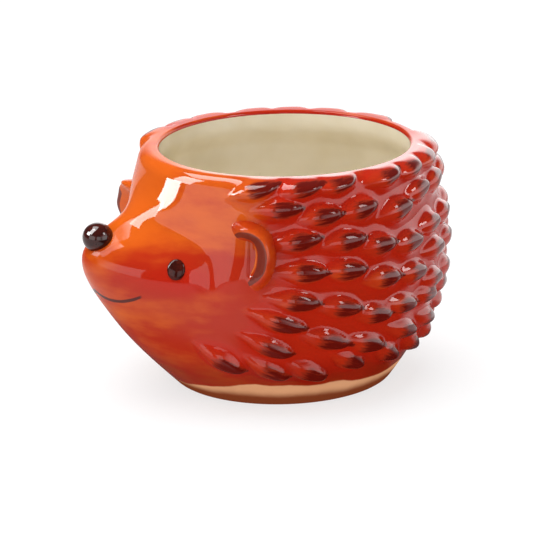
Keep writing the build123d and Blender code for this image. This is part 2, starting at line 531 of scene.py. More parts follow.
@dataclass(frozen=True)
class FlagBlack:
    """Dull black cloth of a studio flag, whole on one side of the pot and thin elsewhere; close under the pot a
    dark ring is painted shadow of the table there, as the glaze reflects it.
    """

    axis_y: float
    azimuth: float = 100.0
    edge_angle: float = 56.0
    full_angle: float = 30.0
    ring_from: float = 0.135
    ring_to: float = 0.085
    ring_share: float = 0.88
    light: Colour = srgb(40, 40, 42)
    shade: Colour = srgb(28, 28, 30)

    def make(self) -> bpy.types.Material:
        """Build the material.

        Returns:
            The finished material.
        """
        book = NodeBook.material("flag_black")
        place = book.place()
        x, y, _ = book.parts(place)
        y = y - self.axis_y * MM
        turn = math.radians(self.azimuth)
        reach = (x * x + y * y).root()
        along = (x * math.sin(turn) - y * math.cos(turn)) / reach
        side = along.step(math.cos(math.radians(self.edge_angle)), math.cos(math.radians(self.full_angle)))
        # Painted shadow: a dark ring close under the pot, seen only in reflections, for the table's shade there.
        ring = (x * x + y * y).step(self.ring_from**2, self.ring_to**2) * self.ring_share
        weave = book.noise(place, 200.0, 2.0)
        material = book.finish(book.mix(weave, self.light, self.shade), 0.9, 0.0, None, 0.0)
        shader = book.shader()
        book.tree.links.new(side.most(ring).socket, shader.inputs["Alpha"])
        return material


@dataclass(frozen=True)
class UprightCurve:
    """Smooth upright curve through (distance out, height) points, in millimetres."""

    points: tuple[tuple[float, float], ...]
    samples: int = 1500

    def read(self, level: np.ndarray) -> np.ndarray:
        """Read how far out the curve stands.

        Args:
            level: Heights to read at.

        Returns:
            Distances out.
        """
        knots = np.array(self.points, float)
        run = np.concatenate(([0.0], np.cumsum(np.hypot(*np.diff(knots, axis=0).T))))
        fine = np.linspace(0.0, run[-1], self.samples)
        drawn = np.stack([self.spline(run, knots[:, axis], fine) for axis in (0, 1)], axis=1)
        return np.interp(level, drawn[:, 1], drawn[:, 0])

    @staticmethod
    def spline(run: np.ndarray, values: np.ndarray, fine: np.ndarray) -> np.ndarray:
        """Natural cubic spline.

        Args:
            run: Length along the knots.
            values: Value at each knot.
            fine: Lengths to read at.

        Returns:
            Values there.
        """
        gap = np.diff(run)
        count = len(run)
        system = np.eye(count)
        right = np.zeros(count)
        for row in range(1, count - 1):
            system[row, row - 1:row + 2] = (gap[row - 1], 2 * (gap[row - 1] + gap[row]), gap[row])
            after = (values[row + 1] - values[row]) / gap[row]
            before = (values[row] - values[row - 1]) / gap[row - 1]
            right[row] = 6 * (after - before)
        bend = np.linalg.solve(system, right)
        cell = np.clip(np.searchsorted(run, fine) - 1, 0, count - 2)
        after = fine - run[cell]
        before = run[cell + 1] - fine
        width = gap[cell]
        cubic = (bend[cell] * before**3 + bend[cell + 1] * after**3) / (6 * width)
        first = (values[cell] / width - bend[cell] * width / 6) * before
        second = (values[cell + 1] / width - bend[cell + 1] * width / 6) * after
        return cubic + first + second


@dataclass(frozen=True)
class PotForm:
    """Outline of the pot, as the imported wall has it, in millimetres from the pot's axis."""

    height: float = 109.5
    length_to_width: float = 1.07
    spread_power: float = 1.6
    wall: float = 6.0
    lip_width: float = 7.1
    lip_depth: float = 6.0
    floor: float = 7.0
    floor_round: float = 9.0
    head_hollow: float = 0.85
    flank: tuple = ((47.0, 0.0), (52.5, 0.08), (61.5, 0.25), (68.0, 0.57), (65.6, 0.82), (61.0, 1.0))
    face: tuple = ((51.8, 0.0), (78.0, 0.25), (90.4, 0.40), (100.9, 0.65), (83.6, 0.78), (73.0, 0.86),
                   (67.0, 1.0))
    spread: tuple = ((60.0, 0.0), (46.0, 0.25), (33.0, 0.40), (22.0, 0.65), (12.3, 0.78), (22.8, 0.86),
                     (47.0, 1.0))

    def _curve(self, shares: tuple) -> UprightCurve:
        """Scale a drawn curve to the pot's height."""
        return UprightCurve(tuple((out, share * self.height) for out, share in shares))

    @staticmethod
    def oval(angle: np.ndarray, half_length: np.ndarray, half_width: np.ndarray) -> np.ndarray:
        """Distance from the middle of an oval to its edge."""
        return half_length * half_width / np.hypot(half_width * np.cos(angle), half_length * np.sin(angle))

    def outline(self, angle: np.ndarray, level: np.ndarray, inset: Union[float, np.ndarray] = 0.0,
                head_share: Union[float, np.ndarray] = 1.0) -> np.ndarray:
        """Distance from the pot's axis to its outline.

        Args:
            angle: Direction from straight ahead, in radians.
            level: Height.
            inset: How far inside the outline to measure.
            head_share: Share of the head that counts.

        Returns:
            Distances, one for each direction and height.
        """
        half_width = self._curve(self.flank).read(level)
        half_length = half_width * self.length_to_width
        head = (self._curve(self.face).read(level) - half_length) * head_share
        spread = np.radians(self._curve(self.spread).read(level))
        bell = (1 + (angle / spread) ** 2) ** -self.spread_power
        return self.oval(angle, half_length - inset, half_width - inset) + head * bell

    def mouth(self, angle: np.ndarray) -> np.ndarray:
        """Distance from the axis to the inner edge of the lip."""
        half_width = self.flank[-1][0]
        return self.oval(angle, half_width * self.length_to_width - self.lip_width, half_width - self.lip_width)

    @staticmethod
    def spot(angle: np.ndarray, radius: np.ndarray, level: np.ndarray) -> np.ndarray:
        """Points from directions, distances and heights."""
        return np.stack([radius * np.sin(angle), -radius * np.cos(angle), level + 0 * radius], axis=-1)

    def facing(self, angle: np.ndarray, level: np.ndarray) -> np.ndarray:
        """Unit normals of the outside.

        Args:
            angle: Directions from straight ahead, in radians.
            level: Heights.

        Returns:
            One normal for each place.
        """
        nudge, rise = 0.004, 0.4
        ahead = self.spot(angle + nudge, self.outline(angle + nudge, level), level)
        behind = self.spot(angle - nudge, self.outline(angle - nudge, level), level)
        above = self.spot(angle, self.outline(angle, level + rise), level + rise)
        below = self.spot(angle, self.outline(angle, level - rise), level - rise)
        normal = np.cross(ahead - behind, above - below)
        return normal / np.linalg.norm(normal, axis=-1, keepdims=True)

    def on_wall(self, angle: float, level: float) -> tuple[np.ndarray, np.ndarray]:
        """One point of the outside and the way the wall faces there.

        Args:
            angle: Direction from straight ahead, in radians.
            level: Height.

        Returns:
            The point and the unit normal.
        """
        turn, height = np.array([angle]), np.array([level])
        point = self.spot(turn, self.outline(turn, height), height)
        return point[0], self.facing(turn, height)[0]


@dataclass(frozen=True)
class QuillRow:
    """One row of quills on a flank, from the face to the back.

    The tips that the photograph shows are given as (angle, height); the hidden ones go on at the last height.
    """

    tips: tuple[tuple[float, float], ...]
    hidden: int
    step: float
    lean_first: float
    lean_last: float
    length: float
    width: float
    tail_turn: float = 6.0
    tail_length: float = 6.5

    def quills(self) -> list[tuple[float, float, float, float]]:
        """Angle, height, lean and length of every quill of the row; a hidden last one reaches on to the back."""
        last_angle, last_level = self.tips[-1]
        tips = list(self.tips)
        tips += [(last_angle + self.step * (index + 1), last_level) for index in range(self.hidden)]
        ease = [min(index / 2, 1.0) for index in range(len(tips))]
        leans = [self.lean_first + (self.lean_last - self.lean_first) * share for share in ease]
        lengths = [self.length] * len(tips)
        if self.hidden:
            tips[-1] = (tips[-1][0] + self.tail_turn, tips[-1][1])
            lengths[-1] += self.tail_length
        return [(angle, level, lean, length) for (angle, level), lean, length in zip(tips, leans, lengths)]


@dataclass
class QuillCoat:
    """All quills of the pot, as relief and paint on its skin."""

    form: PotForm
    proud: float = 5.4
    cushion: float = 0.7
    overreach: float = 1.2
    rows: tuple[QuillRow, ...] = (
        QuillRow(((58.0, 109.2), (75.6, 108.8), (90.6, 109.4), (114.0, 109.0), (130.0, 109.2)), 2, 17.0, 20.0, 12.0,
                 23.0, 12.0),
        QuillRow(((67.3, 97.7), (82.8, 94.4), (98.4, 96.0), (116.6, 92.6), (130.5, 97.6)), 2, 15.6, 4.0, 9.0,
                 23.0, 12.5),
        QuillRow(((135.0, 80.1),), 2, 15.6, 4.0, 4.0, 22.0, 12.0),
        QuillRow(((74.1, 84.8), (92.0, 82.5), (105.7, 77.7), (120.8, 75.5), (138.0, 67.5)), 2, 15.5, 9.0, 1.0,
                 24.0, 12.5),
        QuillRow(((76.0, 69.1), (91.6, 68.4), (107.5, 62.0), (122.8, 60.4), (137.5, 53.0)), 2, 15.4, -2.0, -3.0,
                 24.0, 12.5),
        QuillRow(((73.3, 55.4), (90.0, 50.8), (104.5, 44.7), (118.5, 45.8)), 3, 15.2, -7.0, -9.0, 25.0, 12.0),
        QuillRow(((68.4, 43.4), (86.7, 33.8), (104.0, 29.4), (123.5, 31.0)), 2, 17.5, -19.0, -16.0, 27.0, 12.0),
        QuillRow(((63.6, 30.7),), 0, 16.4, -25.0, -25.0, 25.0, 11.5),
        QuillRow(((45.2, 22.2), (62.5, 18.8), (78.6, 17.2), (95.5, 21.0), (115.6, 20.0)), 3, 16.4, -34.0, -28.0,
                 23.0, 11.5),
    )

    def lay(self, points: np.ndarray) -> tuple[np.ndarray, np.ndarray]:
        """Work out relief and paint over the skin.

        Args:
            points: Points of the bare skin, rows by columns.

        Returns:
            Relief in millimetres, and (along, across, stroke) for each point.
        """
        relief = np.zeros(points.shape[:2])
        paint = np.zeros(points.shape)
        number = 0
        for row in self.rows:
            for angle, level, lean, length in row.quills():
                for root, tip, facing in self._pair(math.radians(angle), level, math.radians(lean), length):
                    number += 1
                    self._press(points, row, (root, tip, facing), number, relief, paint)
        ground = blur(relief, 26)
        return np.maximum(blur(relief, 1), ground * self.cushion), paint

    def _pair(self, angle: float, level: float, lean: float, length: float) -> list[tuple[np.ndarray, ...]]:
        """One quill and its mirror image.

        Args:
            angle: Direction of the tip, in radians.
            level: Height of the tip.
            lean: Rise of the quill from root to tip, in radians.
            length: Length of the quill.

        Returns:
            Root, tip and facing of both.
        """
        tip, _ = self.form.on_wall(angle, level)
        tip, tip_facing = self.form.on_wall(angle + self.overreach / math.hypot(tip[0], tip[1]), level)
        turn = length * math.cos(lean) / math.hypot(tip[0], tip[1])
        root, root_facing = self.form.on_wall(angle - turn, level - length * math.sin(lean))
        facing = tip_facing + root_facing
        facing /= np.linalg.norm(facing)
        flip = np.array([-1.0, 1.0, 1.0])
        return [(root, tip, facing), (root * flip, tip * flip, facing * flip)]

    def _press(self, points: np.ndarray, row: QuillRow, spine: tuple[np.ndarray, ...], number: int,
               relief: np.ndarray, paint: np.ndarray) -> None:
        """Press one quill into the relief and brush its paint on.

        Args:
            points: Points of the bare skin.
            row: The quill's row.
            spine: Root, tip and facing.
            number: Number of the quill, which sets its streaks.
            relief: Relief so far.
            paint: Paint so far.
        """
        root, tip, facing = spine
        reach = np.linalg.norm(tip - root)
        near = np.sum((points - (root + tip) / 2) ** 2, axis=-1) < (reach * 0.9) ** 2
        spot = points[near] - root
        forward = (tip - root) / reach
        along = spot @ forward / reach
        across = spot @ np.cross(facing, forward)
        height, stroke = self._leaf(along, across, row.width)
        relief[near] = np.maximum(relief[near], height * self.proud)
        sheet = paint[near]
        wins = stroke > sheet[:, 2]
        sheet[wins] = np.stack([along * reach + 37.0 * number, across + 11.0 * number, stroke], axis=-1)[wins]
        paint[near] = sheet

    @staticmethod
    def _leaf(along: np.ndarray, across: np.ndarray, width: float) -> tuple[np.ndarray, np.ndarray]:
        """Height and paint of one quill.

        Args:
            along: Share of the way from root to tip.
            across: Distance from its spine.
            width: Greatest width of the quill.

        Returns:
            Height as a share of the crest, and share of dark paint.
        """
        nearing = np.clip((along - 0.45) / 0.55, 0.0, 1.0)
        point = np.clip(1 - nearing**2.0, 0.0, 1.0) ** 0.85
        half = width / 2 * (0.4 + 0.6 * ramp(along, 0.0, 0.5)) * point + 1e-6
        rise = ramp(along, -0.15, 0.5) * (1 - np.clip((along - 0.7) / 0.3, 0.0, 1.0) ** 2.4)
        round_top = np.clip(1 - (across / half) ** 2, 0.0, 1.0) ** 0.7
        height = rise * round_top * (along > -0.15) * (along < 1.0)
        brush_half = 0.74 * half * (along < 0.985) + 1e-6
        body = 1 - ramp(np.abs(across) / brush_half, 0.55, 1.1)
        return height, ramp(along, 0.26, 0.6) * body


@dataclass
class EarCurl:
    """Raised rim of one ear, curled like a C that opens towards the face, standing on the skin."""

    form: PotForm
    axis: np.ndarray
    side: Side
    angle: float = 47.5
    level: float = 77.2
    proud: float = 10.0
    inner: float = 6.2
    outer: float = 4.4
    groove: float = 0.7
    stroke_off: float = 2.3
    stroke_half: float = 2.2
    ochre: float = 1.0
    orange: float = 0.42
    fall_from: float = 0.62
    front_tall: float = 0.62
    stroke_from: float = -1.0
    sink: float = 0.5
    thickness: float = 1.5
    stations: int = 110
    columns: int = 44
    crest: tuple[tuple[float, float], ...] = ((-9.0, 9.4), (-4.4, 11.4), (0.2, 11.3), (4.6, 9.0), (7.4, 4.0),
                                              (7.9, -1.6), (6.6, -7.6), (3.4, -12.4), (-0.2, -16.2))

    @classmethod
    def of(cls, form: PotForm, axis: np.ndarray, side: Side) -> "EarCurl":
        """The ear of one side; the right one sits further forward and lower, as the photograph shows.

        Args:
            form: The pot's form.
            axis: Place of the pot's axis.
            side: Which ear.

        Returns:
            The ear, not yet built.
        """
        if side is Side.LEFT:
            return cls(form, axis, side)
        return cls(form, axis, side, angle=43.0, level=73.0, proud=12.4, stroke_off=0.5, stroke_half=1.2,
                   ochre=0.0, orange=0.9, fall_from=0.62, front_tall=0.64, stroke_from=0.42)

    def frame(self) -> tuple[np.ndarray, np.ndarray, np.ndarray]:
        """Middle of the ear on the wall, the way back and the way up."""
        middle, facing = self.form.on_wall(math.radians(self.angle) * self.side.value, self.level)
        backward = np.cross((0.0, 0.0, 1.0), facing) * self.side.value
        backward /= np.linalg.norm(backward)
        return middle, backward, np.cross(facing, backward) * self.side.value

    def hollow(self, back: np.ndarray, up: np.ndarray) -> np.ndarray:
        """Depth of the hollow that the rim curls round.

        Args:
            back: Place towards the back of the animal, from the ear's middle.
            up: Place upwards.

        Returns:
            Depths in millimetres.
        """
        sides = ramp(back, -1.3, 0.3) * (1 - ramp(back, 5.0, 8.0))
        return self.groove * sides * ramp(up, -13.0, -7.0) * (1 - ramp(up, 6.5, 9.5))

    def dent(self, points: np.ndarray) -> np.ndarray:
        """The hollow's relief on the skin.

        Args:
            points: Points of the bare skin.

        Returns:
            Relief in millimetres, none or negative.
        """
        middle, backward, upward = self.frame()
        spot = points - middle
        near = np.sum(spot**2, axis=-1) < 25.0**2
        return np.where(near, -self.hollow(spot @ backward, spot @ upward), 0.0)

    def build(self) -> bpy.types.Object:
        """Shape the rim along its crest and store what its glaze needs.

        Returns:
            The ear.
        """
        share = np.linspace(0.0, 1.0, self.stations + 1)
        line = self._crest_line(share)
        ahead = np.gradient(line, axis=0)
        ahead /= np.linalg.norm(ahead, axis=1, keepdims=True)
        outward = np.stack([-ahead[:, 1], ahead[:, 0]], axis=1)
        off = np.linspace(-self.inner, self.outer, self.columns + 1)
        place = line[:, None, :] + outward[:, None, :] * off[None, :, None]
        inner = np.cos(np.clip(off / self.inner, -1.0, 0.0) * math.pi / 2) ** 2
        bell = np.where(off < 0, inner, np.clip(1 - (off / self.outer) ** 2, 0.0, 1.0) ** 2)
        front = self.front_tall + (1 - self.front_tall) * ramp(share, 0.15, 0.5)
        tall = ramp(share, 0.0, 0.2) * front * (1 - ramp(share, self.fall_from, 1.0))
        rise = self.proud * tall[:, None] * bell[None, :]
        lift = rise - self.hollow(place[..., 0], place[..., 1]) - self.sink * (1 - np.clip(rise / 1.5, 0.0, 1.0))
        middle, backward, upward = self.frame()
        spot = middle + place[..., :1] * backward + place[..., 1:] * upward
        angle = np.arctan2(spot[..., 0], -spot[..., 1])
        level = spot[..., 2]
        base = self.form.spot(angle, self.form.outline(angle, level), level)
        normal = self.form.facing(angle, level)
        points = (base + normal * lift[..., None] + self.axis) * MM
        piece = wrap_grid(f"ear_{self.side.name.lower()}_rim", self.columns, self.stations, points, closed=False)
        self._store(piece, share, off)
        settle(piece)
        self._thicken(piece)
        return piece

    def _crest_line(self, share: np.ndarray) -> np.ndarray:
        """Smooth line along the crest, as (back, up) places."""
        knots = np.array(self.crest)
        run = np.concatenate(([0.0], np.cumsum(np.hypot(*np.diff(knots, axis=0).T))))
        return np.stack([UprightCurve.spline(run, knots[:, axis], share * run[-1]) for axis in (0, 1)], axis=1)

    def _store(self, piece: bpy.types.Object, share: np.ndarray, off: np.ndarray) -> None:
        """Store the painted stroke and the other fields of the glaze.

        Args:
            piece: The ear's grid.
            share: Share of the way along the crest, for each row.
            off: Distance out from the crest, for each column.
        """
        half = self.stroke_half * np.sin(np.pi * np.clip(share * 0.96 + 0.03, 0.0, 1.0)) ** 0.6
        half = half * ramp(share, self.stroke_from, self.stroke_from + 0.1) - 0.5 * (share < self.stroke_from)
        stroke = 1 - ramp(np.abs(off[None, :] + self.stroke_off) - half[:, None], -0.5, 0.5)
        # Painted highlight: the field goes below zero just inside the stroke, and the glaze turns that into a paler
        # ochre strip.
        inside = ramp(-off - self.stroke_off - self.stroke_half, -0.4, 0.6)[None, :]
        stroke = stroke - self.ochre * inside * (ramp(share, 0.3, 0.5) * (1 - ramp(share, 0.8, 0.95)))[:, None]
        wide = self.columns + 1
        index = np.arange(len(piece.data.vertices))
        row, column = index // wide, index % wide
        none = np.zeros(len(index))
        carry(piece, "quill", np.stack([share[row] * 40.0, off[column], none], axis=1))
        carry(piece, "coat", np.stack([none + 0.3, none + self.orange, stroke[row, column]], axis=1))
        carry(piece, "band", np.stack([none - 50.0, none, none], axis=1))

    def _thicken(self, piece: bpy.types.Object) -> None:
        """Close the ear's back inside the wall.

        Args:
            piece: The ear, which is active.
        """
        bpy.ops.object.modifier_add(type="SOLIDIFY")
        backing = piece.modifiers[-1]
        backing.thickness = self.thickness * MM
        backing.offset = -1.0
        bpy.ops.object.modifier_apply(modifier=backing.name)


def deselect() -> None:
    """Leave nothing selected."""
    bpy.ops.object.select_all(action="DESELECT")


def take(name: str) -> bpy.types.Object:
    """Name the object that an operator has just added."""
    piece = bpy.context.active_object
    piece.name = name
    piece.data.name = name
    return piece


def settle(piece: bpy.types.Object, merge: float = 0.00002) -> None:
    """Merge a shaped piece's doubles, turn its faces out and smooth it.

    Args:
        piece: The mesh object, which is active.
        merge: Distance under which points are one, in metres.
    """
    bpy.ops.object.mode_set(mode="EDIT")
    bpy.ops.mesh.select_all(action="SELECT")
    bpy.ops.mesh.remove_doubles(threshold=merge)
    bpy.ops.mesh.normals_make_consistent(inside=False)
    bpy.ops.object.mode_set(mode="OBJECT")
    bpy.ops.object.shade_smooth()


def wear(piece: bpy.types.Object, material: bpy.types.Material, nodes: Sequence[str]) -> None:
    """Give a piece its finish and its place in the frame.

    Args:
        piece: The finished piece.
        material: Its material.
        nodes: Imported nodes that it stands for.
    """
    piece.data.materials.clear()
    piece.data.materials.append(material)
    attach(piece, BODY)
    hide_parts(*nodes)
    LOG.info("%s: %d faces", piece.name, len(piece.data.polygons))


def wrap_grid(name: str, columns: int, rows: int, points: np.ndarray, closed: bool = True) -> bpy.types.Object:
    """Add a grid and wrap it onto points.

    Args:
        name: Name of the piece.
        columns: Faces round the piece.
        rows: Faces from its first edge to its last.
        points: Metres, rows + 1 by columns, or columns + 1 where it isn't closed.
        closed: Whether the last column meets the first.

    Returns:
        The new object, still with its seam open.
    """
    deselect()
    bpy.ops.mesh.primitive_grid_add(x_subdivisions=columns, y_subdivisions=rows, size=1.0)
    piece = take(name)
    row, column = grid_places(piece, columns, rows)
    wrapped = points[row, column % columns] if closed else points[row, column]
    piece.data.vertices.foreach_set("co", np.ascontiguousarray(wrapped, np.float32).ravel())
    piece.data.update()
    return piece


def grid_places(piece: bpy.types.Object, columns: int, rows: int) -> tuple[np.ndarray, np.ndarray]:
    """Row and column of each point of a flat grid of side one.

    Args:
        piece: The grid.
        columns: Faces along x.
        rows: Faces along y.

    Returns:
        Row numbers and column numbers.
    """
    flat = np.empty(len(piece.data.vertices) * 3)
    piece.data.vertices.foreach_get("co", flat)
    flat = flat.reshape(-1, 3)
    column = np.rint((flat[:, 0] + 0.5) * columns).astype(int)
    row = np.rint((flat[:, 1] + 0.5) * rows).astype(int)
    return row, column


def carry(piece: bpy.types.Object, name: str, values: np.ndarray) -> None:
    """Store a vector for each point of a piece.

    Args:
        piece: The mesh object.
        name: Name of the attribute.
        values: One row of three numbers for each point.
    """
    layer = piece.data.attributes.new(name, "FLOAT_VECTOR", "POINT")
    layer.data.foreach_set("vector", np.ascontiguousarray(values, np.float32).ravel())


def blur(values: np.ndarray, rounds: int) -> np.ndarray:
    """Soften a field on the skin, closed round the pot.

    Args:
        values: Rows by columns.
        rounds: How often to soften.

    Returns:
        The softened field.
    """
    for _ in range(rounds):
        values = values * 0.5 + (np.roll(values, 1, axis=1) + np.roll(values, -1, axis=1)) * 0.25
        padded = np.pad(values, ((1, 1), (0, 0)), mode="edge")
        values = values * 0.5 + (padded[:-2] + padded[2:]) * 0.25
    return values


@dataclass
class PotSkin:
    """The glazed outside: wall, head, lip, ears and quills in one skin."""

    form: PotForm
    axis: np.ndarray
    columns: int = 560
    wall_rows: int = 132
    lip_rows: int = 20
    flat_rows: int = 6
    lip_hold: float = 0.7
    outer_round: float = 5.0
    inner_round: float = 1.6
    foot_round: float = 1.2
    glaze_front: float = 5.0
    glaze_side: float = 12.5
    glaze_fall: float = 2.6
    socket_angle: float = 35.0
    socket_level: float = 67.0
    socket_width: float = 6.5
    socket_height: float = 11.0
    socket_depth: float = 1.5

    def bare(self) -> tuple[np.ndarray, np.ndarray, np.ndarray, np.ndarray]:
        """Points of the skin before quills and ears.

        Returns:
            Points rows by columns in millimetres, angles, heights, and each row's share of the relief.
        """
        turn = np.linspace(-math.pi, math.pi, self.columns, endpoint=False)
        top = self.form.height
        low = np.linspace(0.0, 1.0, 5)[:-1] * math.pi / 2
        foot_in = self.foot_round * (1 - np.sin(low))
        foot_level = self.foot_round * (1 - np.cos(low))
        wall_level = np.linspace(self.foot_round, top - self.outer_round, self.wall_rows - 3)
        arc = np.linspace(0.0, math.pi / 2, self.lip_rows // 2 + 1)[1:]
        rows = [self.form.spot(turn, self.form.outline(turn, level) - inset, level)
                for inset, level in zip(foot_in, foot_level)]
        rows += [self.form.spot(turn, self.form.outline(turn, level), level) for level in wall_level]
        for bend in arc:
            level = top - self.outer_round * (1 - math.sin(bend))
            radius = self.form.outline(turn, level) - self.outer_round * (1 - math.cos(bend))
            rows.append(self.form.spot(turn, radius, level))
        inner_edge = self.form.mouth(turn) + self.inner_round
        flat = np.linspace(0.0, 1.0, self.flat_rows + 1)[1:]
        rows += [self.form.spot(turn, radius * (1 - share) + inner_edge * share, top) for share in flat]
        for bend in arc:
            radius = self.form.mouth(turn) + self.inner_round * (1 - math.sin(bend))
            rows.append(self.form.spot(turn, radius, top - self.inner_round * (1 - math.cos(bend))))
        wall = np.ones(len(rows) - 2 * len(arc) - len(flat))
        hold = np.concatenate((wall, 1 - (1 - self.lip_hold) * ramp(arc, 0.0, math.pi / 2),
                               self.lip_hold * (1 - ramp(flat, 0.0, 1.0)), 0 * arc))
        return np.array(rows), turn, np.array(rows)[:, :, 2], hold

    @staticmethod
    def facing(points: np.ndarray) -> np.ndarray:
        """Outward unit normals of a closed skin."""
        round_pot = np.roll(points, -1, axis=1) - np.roll(points, 1, axis=1)
        up = np.gradient(points, axis=0)
        normal = np.cross(round_pot, up)
        return normal / np.linalg.norm(normal, axis=-1, keepdims=True)

    def build(self) -> bpy.types.Object:
        """Shape the skin and store what its glaze needs.

        Returns:
            The skin.
        """
        points, turn, level, hold = self.bare()
        facing = self.facing(points)
        wall_top = int(np.argmax(hold < 1)) - 1
        facing[wall_top:] = facing[wall_top]
        sideways = ramp(level, self.form.height - 12.0, self.form.height - 4.0)
        facing[..., 2] *= 1 - 0.8 * sideways
        facing /= np.linalg.norm(facing, axis=-1, keepdims=True)
        relief, paint = QuillCoat(self.form).lay(points)
        relief = relief * hold[:, None]
        paint[..., 2] *= ramp(hold, self.lip_hold + 0.02, self.lip_hold + 0.12)[:, None]
        for side in Side:
            relief = relief + EarCurl.of(self.form, self.axis, side).dent(points)
        relief = relief + self.socket(points)
        shaped = points + facing * relief[..., None]
        pool_and_shade = np.maximum(self.pooling(relief), self.lip_edge(points.shape[0])[:, None])
        ears = np.zeros(level.shape)
        angle = np.abs(np.degrees(turn))[None, :] + 0 * level
        forehead = (1 - ramp(angle, 6.0, 34.0)) * ramp(level, 66.0, 84.0)
        forehead = np.maximum(forehead, 0.7 * (1 - ramp(angle, 44.0, 62.0)) * ramp(level, 72.0, 84.0))
        chin = ramp(level, 34.0, 46.0) * (1 - ramp(level, 52.0, 62.0) * ramp(angle, 4.0, 14.0))
        forehead = np.maximum(forehead, 0.5 * (1 - ramp(angle, 18.0, 40.0)) * chin)
        # Deeper red round each eye's hollow: partly glaze pooled there, partly painted shade under the eye.
        pool_and_shade = np.maximum(pool_and_shade, 0.8 * np.exp(-(((angle - 26.0) / 15.0) ** 2) - ((level - 65.0) / 8.0) ** 2))
        line = self.glaze_front + (self.glaze_side - self.glaze_front) * ramp(angle, 0.0, 45.0)
        line -= self.glaze_fall * ramp(angle, 70.0, 105.0)
        line += 0.6 * np.sin(np.radians(angle) * 9.0) + 0.3 * np.sin(np.radians(angle) * 17.0 + 1.0)
        lip = 1 - ramp(hold, 0.8, 0.98)[:, None] + 0 * level
        band = np.stack([line - level, lip, 0 * level], axis=-1)
        rows = points.shape[0] - 1
        piece = wrap_grid("pot_skin", self.columns, rows, (shaped + self.axis) * MM)
        self.store(piece, rows, paint, np.stack([pool_and_shade, forehead, ears], axis=-1), band)
        bpy.context.view_layer.objects.active = piece
        settle(piece)
        return piece

    def store(self, piece: bpy.types.Object, rows: int, paint: np.ndarray, coat: np.ndarray,
              band: np.ndarray) -> None:
        """Store the glaze's fields on the wrapped grid, whose points run along x first.

        Args:
            piece: The skin.
            rows: Faces from foot to lip.
            paint: Quill strokes.
            coat: Pooling and painted shade round the eyes, forehead and ear strokes.
            band: Distance below the glaze's edge, and share of the lip.
        """
        wide = self.columns + 1
        index = np.arange((rows + 1) * wide)
        row, column = index // wide, (index % wide) % self.columns
        carry(piece, "quill", paint[row, column])
        carry(piece, "coat", coat[row, column])
        carry(piece, "band", band[row, column])

    def socket(self, points: np.ndarray) -> np.ndarray:
        """Shallow hollow behind each eye.

        Args:
            points: Points of the bare skin.

        Returns:
            Relief in millimetres, none or negative.
        """
        relief = np.zeros(points.shape[:2])
        for side in Side:
            middle, facing = self.form.on_wall(math.radians(self.socket_angle) * side.value, self.socket_level)
            across = np.cross((0.0, 0.0, 1.0), facing)
            across /= np.linalg.norm(across)
            spot = points - middle
            share = (spot @ across / self.socket_width) ** 2 + (spot[..., 2] / self.socket_height) ** 2
            relief -= self.socket_depth * np.exp(-share) * (np.abs(spot @ facing) < 25.0)
        return relief

    def lip_edge(self, rows: int) -> np.ndarray:
        """Share of deep glaze at the inner edge of the lip, row by row."""
        return ramp(np.arange(rows, dtype=float), rows - 7.0, rows - 3.0)

    @staticmethod
    def pooling(relief: np.ndarray) -> np.ndarray:
        """Share of glaze that has run into the hollows of the relief."""
        around = blur(relief, 14)
        return np.clip(0.45 + (around - relief) * 0.35, 0.0, 1.0) * ramp(around, 0.05, 0.8)


@dataclass
class PotLining:
    """The cream glazed inside, from the lip's inner edge to the floor."""

    form: PotForm
    axis: np.ndarray
    columns: int = 220
    lip_round: float = 1.6

    def build(self) -> bpy.types.Object:
        """Shape the lining.

        Returns:
            The lining.
        """
        form = self.form
        turn = np.linspace(-math.pi, math.pi, self.columns, endpoint=False)
        top = form.height - self.lip_round
        lip_foot = form.height - form.lip_depth
        under = lip_foot - 2 * form.lip_depth
        rows = []
        for level in np.linspace(top, form.floor + form.floor_round, 60):
            wide = form.outline(turn, np.array(level), form.wall, form.head_hollow * self.head(level, under))
            blend = float(ramp(np.array(level), under, lip_foot))
            rows.append(form.spot(turn, wide * (1 - blend) + form.mouth(turn) * blend, level))
        low = form.floor + form.floor_round
        for bend in np.linspace(0.0, math.pi / 2, 9)[1:]:
            inset = form.wall + form.floor_round * (1 - math.cos(bend))
            radius = form.outline(turn, np.array(low), inset, form.head_hollow * (1 - 0.5 * math.sin(bend)))
            rows.append(form.spot(turn, radius, low - form.floor_round * math.sin(bend)))
        edge = rows[-1]
        rows += [edge * np.array([share, share, 1.0]) for share in (0.75, 0.5, 0.25, 0.0)]
        points = np.array(rows)
        piece = wrap_grid("pot_lining", self.columns, len(rows) - 1, (points + self.axis) * MM)
        settle(piece)
        bpy.ops.object.mode_set(mode="EDIT")
        bpy.ops.mesh.select_all(action="SELECT")
        bpy.ops.mesh.normals_make_consistent(inside=True)
        bpy.ops.object.mode_set(mode="OBJECT")
        return piece

    @staticmethod
    def head(level: float, under: float) -> float:
        """Share of the head's hollow at one height."""
        return 1.0 - 0.5 * float(ramp(np.array(level), under - 14.0, under))


